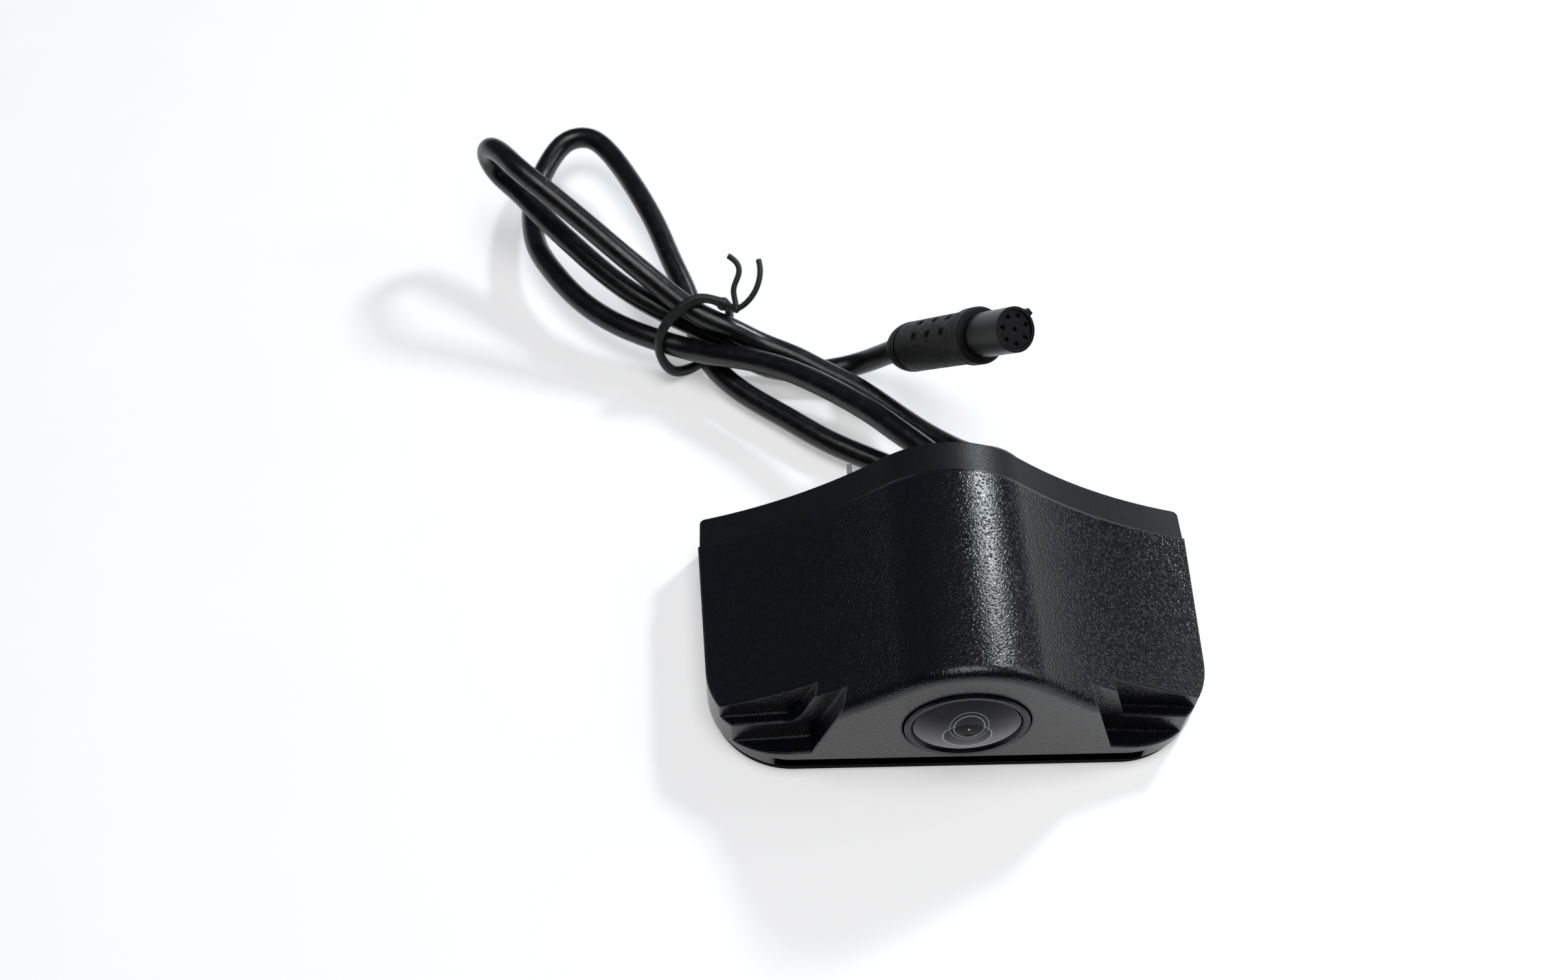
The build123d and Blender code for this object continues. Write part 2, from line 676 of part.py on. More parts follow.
with BuildPart() as wire_leads:
    for x in (-0.7, 0.7):
        for z in (-0.7, 0.7):
            start = (x, FRONT_Y + SOCKET_U + SOCKET_DEPTH, LENS_Z + z)
            add(peg(start, (0, 1, 0), 0.42, CABLE_END_Y - FRONT_Y - SOCKET_U - SOCKET_DEPTH))
wire_leads.part.label = "wire_leads"

# The lead leaves the grommet and runs to the tie, makes the flat loop, comes back through the
# tie to a short bend behind the housing, returns through the tie, makes the raised loop, and
# passes through the tie once more on its way to the connector.
ROUTE = (
    (0.0, 27.0, 14.2),
    (-5.8, 33.6, 14.0),
    (-10.8, 39.1, 13.2),
    (-17.4, 45.2, 12.0),
    (-24.4, 50.4, 10.8),
    (-31.4, 53.9, 9.6),
    (-36.6, 56.2, 8.2),
    (-40.6, 58.4, 7.0),
    (-46.1, 60.6, 7.0),
    (-55.1, 65.6, 7.0),
    (-61.4, 71.4, 7.0),
    (-66.3, 78.2, 7.0),
    (-69.6, 84.8, 6.5),
    (-71.0, 91.0, 6.0),
    (-71.3, 98.5, 6.0),
    (-70.0, 104.5, 6.6),
    (-67.9, 109.3, 7.6),
    (-65.0, 112.4, 8.4),
    (-61.4, 112.6, 8.8),
    (-58.2, 110.2, 8.6),
    (-55.2, 106.0, 8.0),
    (-51.7, 99.0, 8.0),
    (-47.5, 89.8, 7.0),
    (-44.3, 80.9, 6.0),
    (-41.4, 73.4, 4.6),
    (-39.8, 66.0, 3.8),
    (-37.4, 58.8, 3.5),
    (-31.5, 51.9, 2.8),
    (-24.4, 46.3, 2.8),
    (-17.4, 40.8, 3.0),
    (-10.4, 36.7, 3.0),
    (-4.0, 33.2, 3.0),
    (3.0, 29.2, 2.8),
    (8.8, 26.1, 3.0),
    (11.7, 25.2, 4.0),
    (13.7, 26.1, 6.4),
    (13.4, 28.2, 8.8),
    (11.2, 30.3, 9.8),
    (7.2, 32.8, 8.2),
    (2.6, 36.6, 6.6),
    (-1.2, 40.0, 6.1),
    (-5.7, 44.3, 6.0),
    (-11.8, 49.4, 6.5),
    (-18.0, 53.3, 7.0),
    (-22.2, 55.8, 7.5),
    (-28.1, 58.3, 8.4),
    (-33.7, 60.0, 10.7),
    (-39.3, 62.4, 12.1),
    (-45.9, 67.3, 14.0),
    (-53.1, 72.8, 17.0),
    (-60.4, 78.6, 20.0),
    (-66.3, 83.0, 22.5),
    (-71.4, 87.2, 24.2),
    (-74.4, 91.2, 23.8),
    (-76.8, 94.2, 22.4),
    (-77.8, 95.6, 19.3),
    (-76.6, 94.9, 16.3),
    (-73.1, 91.7, 14.8),
    (-68.9, 87.2, 13.5),
    (-61.3, 78.8, 12.0),
    (-56.7, 74.2, 11.0),
    (-49.5, 68.4, 9.6),
    (-43.9, 65.2, 8.6),
    (-38.6, 62.7, 7.6),
)
tail_start = TAIL_PIVOT + TAIL_HEADING.normalized() * PIVOT_GAP
main_end = TAIL_PIVOT - TAIL_HEADING.normalized() * PIVOT_GAP
coil = Spline(*ROUTE, main_end, tangents=((0, 1, 0), TAIL_HEADING), tangent_scalars=(0.3, 0.3))
COIL_LENGTHS = 6
with BuildPart() as cable_main:
    add(peg((0, CABLE_END_Y, LENS_Z), (0, 1, 0), CABLE_R, ROUTE[0][1] - CABLE_END_Y))
    for length in range(COIL_LENGTHS):
        stretch = coil.trim(length / COIL_LENGTHS, (length + 1) / COIL_LENGTHS)
        with BuildSketch(Plane(origin=stretch @ 0, z_dir=stretch % 0)):
            Circle(CABLE_R)
        sweep(path=stretch)
cable_main.part.label = "cable_main"

connector_dir = (CONNECTOR_FRONT - BOOT_REAR).normalized()
TAIL_ROUTE = (
    (-28.0, 58.0, 3.2),
    (-20.6, 56.8, 2.3),
    (-14.8, 57.0, 2.8),
    (-9.8, 57.0, 4.6),
)
with BuildPart() as cable_tail:
    with BuildLine():
        Spline(
            tail_start,
            *TAIL_ROUTE,
            BOOT_REAR - connector_dir * BOOT_GAP,
            tangents=(TAIL_HEADING, connector_dir),
        )
    with BuildSketch(Plane(origin=tail_start, z_dir=TAIL_HEADING)):
        Circle(CABLE_R)
    sweep()
cable_tail.part.label = "cable_tail"

# The tie is a covered wire round the bundle, its ends twisted together on top and sprung apart.
TIE_R = 0.6
END_R = 0.52
KNOT = Vector(-34.7, 62.0, 14.8)
FORK = Vector(-32.4, 60.4, 15.1)
TIE_LOOP = (
    (-38.8, 62.5, 15.2),
    (-41.8, 61.3, 14.2),
    (-44.4, 59.9, 12.1),
    (-46.0, 58.3, 9.4),
    (-45.9, 57.0, 6.0),
    (-43.6, 57.2, 2.1),
    (-39.2, 60.2, 0.72),
    (-35.5, 63.2, 2.4),
    (-34.0, 64.4, 7.0),
    (-34.0, 63.8, 12.0),
)
TIE_ENDS = (
    ((-32.6, 62.0, 15.6), (-32.8, 63.6, 16.8), (-32.1, 65.2, 18.0), (-33.7, 68.5, 20.0)),
    ((-30.4, 61.2, 16.2), (-28.9, 62.8, 17.6), (-28.4, 67.4, 20.0)),
)
KNOT_R = 1.2
TWIST_R = 0.62
with BuildPart() as twist_tie:
    tie_loop = Spline(KNOT + Vector(-0.95, 0.1, 0.1), *TIE_LOOP, KNOT + Vector(0.15, 0.7, -0.75))
    with BuildSketch(Plane(origin=tie_loop @ 0, z_dir=tie_loop % 0)):
        Circle(TIE_R)
    sweep(path=tie_loop)
    with Locations(KNOT):
        Sphere(KNOT_R)
    add(peg(KNOT, FORK - KNOT, TWIST_R, (FORK - KNOT).length))
    with Locations(FORK):
        Sphere(TWIST_R + 0.06)
    for free_end in TIE_ENDS:
        end_line = Spline(FORK, *free_end)
        with BuildSketch(Plane(origin=end_line @ 0, z_dir=end_line % 0)):
            Circle(END_R)
        sweep(path=end_line)
twist_tie.part.label = "twist_tie"


# ---- Connector: parts about its own axis, t measured from the boot's rear end ----
connector_axis = Axis(BOOT_REAR, connector_dir)
connector_side = connector_dir.cross(Vector(0, 0, 1)).normalized()
connector_plane = Plane(origin=BOOT_REAR, x_dir=connector_side, z_dir=connector_side.cross(connector_dir))
CONNECTOR_LENGTH = (CONNECTOR_FRONT - BOOT_REAR).length
PLUG_AT = COLLAR_AT + COLLAR_LENGTH


def connector_station(t):
    """Plane across the connector at distance t, facing its front."""
    return Plane(origin=BOOT_REAR + connector_dir * t, x_dir=connector_side, z_dir=connector_dir)


def connector_section(*points):
    with BuildSketch(connector_plane) as section:
        with BuildLine():
            Polyline(*points, close=True)
        make_face()
    return section.sketch


# The grip has four grooves round its rear shoulder and dimples on two opposite sides.
BOOT_END_R = 2.7
BOOT_GROOVES = ((1.4, 2.9), (2.5, 3.45), (3.6, 3.72), (4.7, 3.88))
GROOVE_WIDTH = 0.5
DIMPLE_AT = (11.2, 15.4, 19.6)
DIMPLE_ANGLES = (239, 277, 315)
DIMPLE_R = 0.75
with BuildPart() as connector_boot:
    with BuildSketch(connector_plane):
        with BuildLine():
            Line((0, 0), (BOOT_END_R, 0))
            ThreePointArc((BOOT_END_R, 0), (3.8, 2.0), (GRIP_R, DOME_LENGTH))
            Polyline((GRIP_R, DOME_LENGTH), (GRIP_R, COLLAR_AT), (0, COLLAR_AT), (0, 0))
        make_face()
    revolve(axis=connector_axis)
    for groove_at, groove_r in BOOT_GROOVES:
        revolve(
            connector_section(
                (groove_r, groove_at),
                (GRIP_R + 1, groove_at),
                (GRIP_R + 1, groove_at + GROOVE_WIDTH),
                (groove_r, groove_at + GROOVE_WIDTH),
            ),
            axis=connector_axis,
            mode=Mode.SUBTRACT,
        )
    for t in DIMPLE_AT:
        with BuildSketch(connector_station(t)):
            for dimple_angle in DIMPLE_ANGLES:
                with PolarLocations(GRIP_R + 0.35, 2, start_angle=dimple_angle):
                    Circle(DIMPLE_R)
        extrude(amount=DIMPLE_R, both=True, mode=Mode.SUBTRACT)
connector_boot.part.label = "connector_boot"

with BuildPart() as connector_collar:
    with BuildSketch(connector_station(COLLAR_AT)):
        Circle(COLLAR_R)
        Circle(PLUG_BORE_R, mode=Mode.SUBTRACT)
    extrude(amount=COLLAR_LENGTH)
    fillet(connector_collar.edges().filter_by(GeomType.CIRCLE).group_by(SortBy.RADIUS)[-1], radius=0.4)
connector_collar.part.label = "connector_collar"

KEY_ANGLE = 196.0
with BuildPart() as connector_shell:
    with BuildSketch(connector_station(PLUG_AT)):
        Circle(PLUG_R)
        Circle(PLUG_BORE_R, mode=Mode.SUBTRACT)
    extrude(amount=CONNECTOR_LENGTH - PLUG_AT)
    with BuildSketch(connector_station(CONNECTOR_LENGTH - 3.0)):
        with PolarLocations(PLUG_R + 0.1, 1, start_angle=KEY_ANGLE):
            Rectangle(1.0, 1.1)
    extrude(amount=3.0)
connector_shell.part.label = "connector_shell"

with BuildPart() as connector_insert:
    with BuildSketch(connector_station(COLLAR_AT)):
        Circle(PLUG_BORE_R - 0.02)
        Circle(CONTACT_R + 0.02, mode=Mode.SUBTRACT)
        with PolarLocations(CONTACT_CIRCLE_R, CONTACT_COUNT, start_angle=KEY_ANGLE - 180 / CONTACT_COUNT):
            Circle(CONTACT_R + 0.02, mode=Mode.SUBTRACT)
    extrude(amount=CONNECTOR_LENGTH - COLLAR_AT - 0.25)
connector_insert.part.label = "connector_insert"

with BuildPart() as contact_sockets:
    with BuildSketch(connector_station(COLLAR_AT)):
        with Locations((0, 0)):
            Circle(CONTACT_R)
        with PolarLocations(CONTACT_CIRCLE_R, CONTACT_COUNT, start_angle=KEY_ANGLE - 180 / CONTACT_COUNT):
            Circle(CONTACT_R)
    extrude(amount=CONNECTOR_LENGTH - COLLAR_AT - 1.2)
contact_sockets.part.label = "contact_sockets"


# ---- Export, one STEP per piece ----
os.makedirs("parts", exist_ok=True)
export_step(front_cover.part, "parts/front_cover.step")
export_step(rear_base.part, "parts/rear_base.step")
export_step(cover_seal.part, "parts/cover_seal.step")
export_step(bottom_plate.part, "parts/bottom_plate.step")
export_step(cover_screws.part, "parts/cover_screws.step")
export_step(base_screws.part, "parts/base_screws.step")
export_step(mount_inserts.part, "parts/mount_inserts.step")
export_step(locating_tab.part, "parts/locating_tab.step")
export_step(lens_ring.part, "parts/lens_ring.step")
export_step(front_lens.part, "parts/front_lens.step")
export_step(lens_o_ring.part, "parts/lens_o_ring.step")
export_step(lens_barrel.part, "parts/lens_barrel.step")
export_step(second_lens.part, "parts/second_lens.step")
export_step(lens_spacer.part, "parts/lens_spacer.step")
export_step(third_lens.part, "parts/third_lens.step")
export_step(rear_lens.part, "parts/rear_lens.step")
export_step(lens_retainer.part, "parts/lens_retainer.step")
export_step(lens_holder.part, "parts/lens_holder.step")
export_step(ir_filter.part, "parts/ir_filter.step")
export_step(module_housing.part, "parts/module_housing.step")
export_step(sensor_board.part, "parts/sensor_board.step")
export_step(image_sensor.part, "parts/image_sensor.step")
export_step(power_board.part, "parts/power_board.step")
export_step(board_posts.part, "parts/board_posts.step")
export_step(board_link.part, "parts/board_link.step")
export_step(board_parts.part, "parts/board_parts.step")
export_step(cable_socket.part, "parts/cable_socket.step")
export_step(module_gasket.part, "parts/module_gasket.step")
export_step(module_back_cap.part, "parts/module_back_cap.step")
export_step(cap_screws.part, "parts/cap_screws.step")
export_step(module_screws.part, "parts/module_screws.step")
export_step(cable_grommet.part, "parts/cable_grommet.step")
export_step(wire_leads.part, "parts/wire_leads.step")
export_step(cable_main.part, "parts/cable_main.step")
export_step(twist_tie.part, "parts/twist_tie.step")
export_step(cable_tail.part, "parts/cable_tail.step")
export_step(connector_boot.part, "parts/connector_boot.step")
export_step(connector_collar.part, "parts/connector_collar.step")
export_step(connector_shell.part, "parts/connector_shell.step")
export_step(connector_insert.part, "parts/connector_insert.step")
export_step(contact_sockets.part, "parts/contact_sockets.step")
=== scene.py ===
import bpy
import json
import math
import numpy as np
from mathutils import Matrix, Vector
from mathutils.bvhtree import BVHTree


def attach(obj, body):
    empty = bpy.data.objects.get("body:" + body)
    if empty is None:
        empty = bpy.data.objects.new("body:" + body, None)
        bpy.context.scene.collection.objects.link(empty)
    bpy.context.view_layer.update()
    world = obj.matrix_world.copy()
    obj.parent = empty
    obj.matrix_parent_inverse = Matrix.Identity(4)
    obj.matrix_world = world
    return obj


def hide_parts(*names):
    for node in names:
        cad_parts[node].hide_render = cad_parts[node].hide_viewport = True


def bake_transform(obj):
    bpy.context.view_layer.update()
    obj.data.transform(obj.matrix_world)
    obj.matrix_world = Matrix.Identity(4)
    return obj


# Looks for the surface-mount backup camera. Metres; the frame's own +Z up, lens along -Y.

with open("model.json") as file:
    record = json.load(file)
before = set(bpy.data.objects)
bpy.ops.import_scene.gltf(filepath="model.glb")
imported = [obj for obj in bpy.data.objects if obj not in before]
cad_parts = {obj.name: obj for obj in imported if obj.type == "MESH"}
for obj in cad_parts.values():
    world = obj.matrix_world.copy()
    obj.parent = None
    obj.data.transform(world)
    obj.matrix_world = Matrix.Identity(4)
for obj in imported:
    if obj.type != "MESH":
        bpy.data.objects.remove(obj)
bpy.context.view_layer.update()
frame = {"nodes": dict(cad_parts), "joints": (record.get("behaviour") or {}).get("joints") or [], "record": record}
NODES = frame["nodes"]
MM = 0.001
LENS_Z = 14.2
SHARP_CAD = math.radians(28)
SHARP_TUBE = math.radians(40)


# ---------------------------------------------------------------- node helpers
class Shader:
    """A Principled material built from procedural nodes, with coordinates in millimetres."""

    def __init__(self, name, color, rough, metallic=0.0):
        self.mat = bpy.data.materials.new(name)
        self.mat.use_nodes = True
        self.tree = self.mat.node_tree
        self.bsdf = self.tree.nodes["Principled BSDF"]
        self.mat.diffuse_color = (*color, 1.0)
        self.bsdf.inputs["Base Color"].default_value = (*color, 1.0)
        self.bsdf.inputs["Roughness"].default_value = rough
        self.bsdf.inputs["Metallic"].default_value = metallic
        coords = self.node("ShaderNodeTexCoord")
        scale = self.node("ShaderNodeMapping")
        scale.inputs["Scale"].default_value = (1000.0, 1000.0, 1000.0)
        self.link(coords.outputs["Object"], scale.inputs["Vector"])
        self.mm = scale.outputs["Vector"]
        self.surface = None

    def round_edges(self, radius_mm):
        n = self.node("ShaderNodeBevel")
        n.samples = 4
        n.inputs["Radius"].default_value = radius_mm * MM
        self.surface = n.outputs["Normal"]

    def node(self, kind):
        return self.tree.nodes.new(kind)

    def link(self, a, b):
        self.tree.links.new(a, b)

    def noise(self, per_mm, detail=3.0, rough=0.55):
        n = self.node("ShaderNodeTexNoise")
        n.inputs["Scale"].default_value = per_mm
        n.inputs["Detail"].default_value = detail
        n.inputs["Roughness"].default_value = rough
        self.link(self.mm, n.inputs["Vector"])
        return n.outputs["Fac"]

    def cells(self, per_mm, output="Distance", feature="F1"):
        n = self.node("ShaderNodeTexVoronoi")
        n.feature = feature
        n.inputs["Scale"].default_value = per_mm
        self.link(self.mm, n.inputs["Vector"])
        return n.outputs[output]

    def from_axis(self, rise=0.0, squeeze=1.0):
        """Distance in mm from a line along Y, rise above the lens axis, with height scaled by squeeze."""
        shift = self.node("ShaderNodeMapping")
        shift.inputs["Location"].default_value = (0.0, 0.0, -squeeze * (LENS_Z + rise))
        shift.inputs["Scale"].default_value = (1.0, 0.0, squeeze)
        self.link(self.mm, shift.inputs["Vector"])
        length = self.node("ShaderNodeVectorMath")
        length.operation = "LENGTH"
        self.link(shift.outputs["Vector"], length.inputs[0])
        return length.outputs["Value"]

    def place(self, axis):
        n = self.node("ShaderNodeSeparateXYZ")
        self.link(self.mm, n.inputs[0])
        return n.outputs[axis]

    def remap(self, value, lo, hi, to_lo, to_hi):
        n = self.node("ShaderNodeMapRange")
        n.inputs["From Min"].default_value = lo
        n.inputs["From Max"].default_value = hi
        n.inputs["To Min"].default_value = to_lo
        n.inputs["To Max"].default_value = to_hi
        self.link(value, n.inputs["Value"])
        return n.outputs["Result"]

    def math(self, op, a, b):
        n = self.node("ShaderNodeMath")
        n.operation = op
        for slot, v in ((0, a), (1, b)):
            if isinstance(v, (int, float)):
                n.inputs[slot].default_value = v
            else:
                self.link(v, n.inputs[slot])
        return n.outputs[0]

    def tint(self, fac, dark, light):
        n = self.node("ShaderNodeMix")
        n.data_type = "RGBA"
        for slot, v in (("A", dark), ("B", light)):
            socket = [s for s in n.inputs if s.name == slot and s.type == "RGBA"][0]
            if isinstance(v, tuple):
                socket.default_value = (*v, 1.0)
            else:
                self.link(v, socket)
        factor = [s for s in n.inputs if s.name == "Factor" and s.type == "VALUE"][0]
        self.link(fac, factor)
        return [s for s in n.outputs if s.type == "RGBA"][0]

    def color(self, socket):
        self.link(socket, self.bsdf.inputs["Base Color"])

    def roughness(self, socket):
        self.link(socket, self.bsdf.inputs["Roughness"])

    def bump(self, height, depth_mm, strength=1.0):
        n = self.node("ShaderNodeBump")
        n.inputs["Strength"].default_value = strength
        n.inputs["Distance"].default_value = depth_mm * MM
        self.link(height, n.inputs["Height"])
        if self.surface is not None:
            self.link(self.surface, n.inputs["Normal"])
        self.surface = n.outputs["Normal"]
        self.link(self.surface, self.bsdf.inputs["Normal"])

    def set(self, **values):
        for key, v in values.items():
            self.bsdf.inputs[key.replace("_", " ")].default_value = v


def plain(name, color, rough, metallic=0.0, grain=2.0, depth=0.01, spread=0.25, edge=0.0):
    """Even material with a fine grain and slightly uneven colour and gloss."""
    s = Shader(name, color, rough, metallic)
    if edge:
        s.round_edges(edge)
    tone = s.noise(grain * 0.3, 4.0)
    dark = tuple(c * (1 - spread) for c in color)
    light = tuple(min(1.0, c * (1 + spread)) for c in color)
    s.color(s.tint(s.remap(tone, 0.3, 0.7, 0, 1), dark, light))
    s.roughness(s.remap(s.noise(grain, 3.0), 0.3, 0.7, rough * 0.85, min(1.0, rough * 1.2)))
    s.bump(s.noise(grain * 3, 2.0), depth)
    return s


# Height and half-width (mm) of the painted contact shade along the bottom of the cover wall.
CONTACT_SHADE_TOP = 4.2
CONTACT_SHADE_HALF = 28.0


def pebbled():
    """Black moulded plastic with a fine pebble grain that sparkles; painted contact shade along the bottom of the
    wall: black and less specular.
    """
    s = Shader("pebbled_black", (0.004, 0.0042, 0.006), 0.3)
    s.round_edges(0.7)
    grain = s.math("ADD", s.remap(s.cells(2.2), 0.0, 0.5, 1.0, 0.0), s.noise(4.5, 2.0, 0.6))
    s.bump(grain, 0.034, 1.0)
    s.roughness(s.remap(s.noise(2.4, 2.0), 0.3, 0.7, 0.15, 0.28))
    mottle = s.remap(s.noise(1.6, 4.0), 0.35, 0.7, 0, 1)
    tone = s.tint(mottle, (0.0035, 0.0038, 0.0055), (0.0065, 0.007, 0.0095))
    dust = s.math("GREATER_THAN", s.noise(4.5, 1.0), 0.8)
    # painted contact shade: a band along the bottom of the wall is painted black and made less specular
    low = s.remap(s.place("Z"), CONTACT_SHADE_TOP - 0.1, CONTACT_SHADE_TOP + 0.1, 1.0, 0.0)
    middle = s.remap(s.math("ABSOLUTE", s.place("X"), 0.0), CONTACT_SHADE_HALF - 0.5, CONTACT_SHADE_HALF + 0.5, 1.0, 0.0)
    contact_shade = s.math("MULTIPLY", low, middle)
    s.color(s.tint(contact_shade, s.tint(dust, tone, (0.08, 0.08, 0.085)), (0.0, 0.0, 0.0)))
    s.link(s.remap(contact_shade, 0.0, 1.0, 0.5, 0.0), s.bsdf.inputs["Specular IOR Level"])
    return s


def cable_black():
    """Glossy black jacket: faint long waviness and handling marks."""
    s = Shader("cable_jacket", (0.004, 0.004, 0.0045), 0.2)
    s.bump(s.noise(0.12, 1.0), 0.04, 0.25)
    scuff = s.noise(0.5, 3.0, 0.5)
    s.roughness(s.remap(scuff, 0.35, 0.7, 0.27, 0.36))
    tone = s.tint(s.remap(scuff, 0.5, 0.75, 0, 1), (0.003, 0.003, 0.0035), (0.008, 0.008, 0.009))
    s.color(tone)
    s.set(Specular_IOR_Level=0.5)
    return s


def grip_rubber():
    """Matte moulded rubber with a soft sheen."""
    s = Shader("connector_rubber", (0.006, 0.006, 0.007), 0.5)
    s.bump(s.noise(6.0, 4.0, 0.65), 0.02, 0.6)
    s.roughness(s.remap(s.noise(1.2, 4.0), 0.3, 0.7, 0.45, 0.68))
    mottle = s.remap(s.noise(0.7, 5.0), 0.35, 0.7, 0, 1)
    tone = s.tint(mottle, (0.0045, 0.0045, 0.005), (0.009, 0.009, 0.01))
    s.color(tone)
    s.set(Specular_IOR_Level=0.25)
    return s


def turned(name, color, rough, rings_per_mm=6.0):
    """Metal turned about the lens axis, with fine concentric tool marks."""
    s = Shader(name, color, rough, 1.0)
    marks = s.math("SINE", s.math("MULTIPLY", s.from_axis(), rings_per_mm * 2 * math.pi), 0.0)
    s.bump(marks, 0.004, 0.35)
    s.bump(s.noise(8.0, 2.0), 0.004, 0.4)
    s.roughness(s.remap(s.noise(2.0, 3.0), 0.3, 0.7, rough * 0.8, rough * 1.25))
    tone = s.remap(s.noise(1.2, 4.0), 0.3, 0.7, 0, 1)
    s.color(s.tint(tone, tuple(c * 0.8 for c in color), tuple(min(1.0, c * 1.2) for c in color)))
    return s


def coated_glass(name, color, sheen, through=1.0):
    """Lens glass with the violet sheen of its coating and faint smudges."""
    s = Shader(name, color, 0.02)
    s.set(IOR=1.5, Transmission_Weight=through, Specular_Tint=(*sheen, 1.0))
    s.roughness(s.remap(s.noise(0.5, 4.0), 0.45, 0.75, 0.0, 0.06))
    s.color(s.tint(s.noise(0.3, 2.0), color, tuple(min(1.0, c * 1.05) for c in color)))
    return s


def fisheye_front():
    """Front glass of a wide-angle lens: glossy, nearly black and opaque, the view into the stepped barrel painted
    on it: the barrel's dark interior and aperture as painted shade, its edges as thin painted glints, a painted
    white highlight at the centre and the lower glass a lighter violet as a painted reflection of the table.
    """
    s = Shader("front_glass", (0.004, 0.0034, 0.008), 0.04)

    def ring(distance, radius, width):
        """1 on a thin line at that distance, 0 elsewhere."""
        gap = s.math("ABSOLUTE", s.math("SUBTRACT", distance, radius), 0.0)
        return s.remap(gap, 0.3 * width, width, 1.0, 0.0)

    below = s.remap(s.place("Z"), 13.0, 18.0, 1.0, 0.0)
    # painted reflection: the lower glass is tinted a lighter violet for the table reflected in it
    violet = s.tint(below, (0.004, 0.0038, 0.006), (0.012, 0.009, 0.017))
    # painted shade: within radius 3.4 mm the glass is painted nearly black for the barrel's dark interior
    well = s.remap(s.from_axis(-0.8), 3.4, 3.6, 1.0, 0.0)
    well_shade = s.tint(well, violet, (0.0015, 0.0017, 0.0025))
    # painted glints: thin light rings for the lit edges of the stepped barrel, the outer ring only on its lower
    # arc
    step_glint = s.tint(s.math("MULTIPLY", ring(s.from_axis(-0.8), 3.5, 0.12), below), well_shade, (0.5, 0.5, 0.56))
    mouth_glint = s.tint(ring(s.from_axis(1.9, 0.8), 2.8, 0.1), step_glint, (0.22, 0.24, 0.28))
    lip_glint = s.tint(ring(s.from_axis(1.9, 0.8), 2.2, 0.1), mouth_glint, (0.36, 0.38, 0.42))
    # painted shade: a near-black disc at the centre for the lens aperture
    pupil_shade = s.tint(s.remap(s.from_axis(2.1, 0.85), 1.8, 1.95, 1.0, 0.0), lip_glint, (0.0005, 0.0005, 0.0005))
    # painted highlight: a small white dot at the centre
    s.color(s.tint(s.remap(s.from_axis(1.4), 0.12, 0.2, 1.0, 0.0), pupil_shade, (1.0, 1.0, 1.0)))
    s.roughness(s.remap(s.noise(0.5, 4.0), 0.45, 0.75, 0.03, 0.08))
    shine = s.math("MULTIPLY", s.remap(below, 0.0, 1.0, 0.16, 0.45), s.remap(well, 0.0, 1.0, 1.0, 0.3))
    s.link(shine, s.bsdf.inputs["Specular IOR Level"])
    s.set(IOR=1.5, Specular_Tint=(0.86, 0.82, 1.0, 1.0))
    return s


def brass_like(name, color, rough):
    s = Shader(name, color, rough, 1.0)
    s.bump(s.noise(5.0, 3.0), 0.006, 0.4)
    s.roughness(s.remap(s.noise(1.5, 4.0), 0.3, 0.7, rough * 0.7, rough * 1.3))
    s.color(s.tint(s.noise(0.9, 4.0), tuple(c * 0.7 for c in color), color))
    return s


def circuit_board():
    """Green solder mask with tracks and pads."""
    s = Shader("board_green", (0.02, 0.12, 0.05), 0.35)
    tracks = s.math("GREATER_THAN", s.cells(0.8, "Distance", "DISTANCE_TO_EDGE"), 0.06)
    mask = s.tint(tracks, (0.05, 0.24, 0.09), (0.015, 0.10, 0.04))
    pads = s.math("LESS_THAN", s.cells(1.4), 0.10)
    s.color(s.tint(pads, mask, (0.6, 0.58, 0.5)))
    s.bump(tracks, 0.02, 0.5)
    s.roughness(s.remap(s.noise(1.0, 3.0), 0.3, 0.7, 0.28, 0.45))
    return s


COVER = pebbled().mat
BAND = plain("band_satin", (0.006, 0.006, 0.007), 0.42, grain=3.0, depth=0.012, edge=0.3)
BAND.set(Specular_IOR_Level=0.3)
CABLE = cable_black().mat
RUBBER = grip_rubber().mat
MOULDED = plain("moulded_black", (0.005, 0.005, 0.006), 0.34, grain=3.5, depth=0.014, edge=0.15)
MOULDED.set(Specular_IOR_Level=0.3)
SEAL = plain("seal_rubber", (0.006, 0.006, 0.006), 0.7, grain=4.0, depth=0.02)
TIE = plain("tie_black", (0.006, 0.0075, 0.007), 0.45, grain=3.0, depth=0.05)
TAB = plain("tab_grey", (0.2, 0.205, 0.21), 0.45, grain=3.0, depth=0.012, spread=0.1)
COMPONENT = plain("component_black", (0.03, 0.03, 0.03), 0.45, grain=5.0, depth=0.01)
IVORY = plain("socket_ivory", (0.7, 0.67, 0.58), 0.5, grain=3.0, depth=0.01, spread=0.1)
WIRE = plain("wire_red", (0.45, 0.04, 0.03), 0.35, grain=3.0, depth=0.01)
SENSOR = plain("sensor_dark", (0.03, 0.035, 0.05), 0.12, grain=1.5, depth=0.002)
PLATE = plain("pad_black", (0.002, 0.002, 0.0025), 0.85, grain=3.0, depth=0.02)
PLATE.set(Specular_IOR_Level=0.12)
STEEL = brass_like("screw_steel", (0.52, 0.52, 0.5), 0.35)
BRASS = brass_like("insert_brass", (0.72, 0.52, 0.22), 0.3)
CONTACT = brass_like("contact_metal", (0.36, 0.3, 0.2), 0.4)
RING = turned("ring_anodised", (0.032, 0.031, 0.037), 0.34)
BARREL = turned("barrel_black", (0.01, 0.01, 0.013), 0.38)
SPACER = turned("spacer_satin", (0.3, 0.3, 0.33), 0.3)
BOARD = circuit_board()
GLASS = fisheye_front()
# painted shade: the inner lenses are opaque and near-black for the dark interior of the lens, keeping only their
# glossy reflection
GLASS_IN = coated_glass("inner_glass", (0.004, 0.003, 0.007), (0.7, 0.6, 1.0), through=0.0)
FILTER = coated_glass("filter_glass", (0.25, 0.3, 0.4), (0.8, 0.9, 1.0))

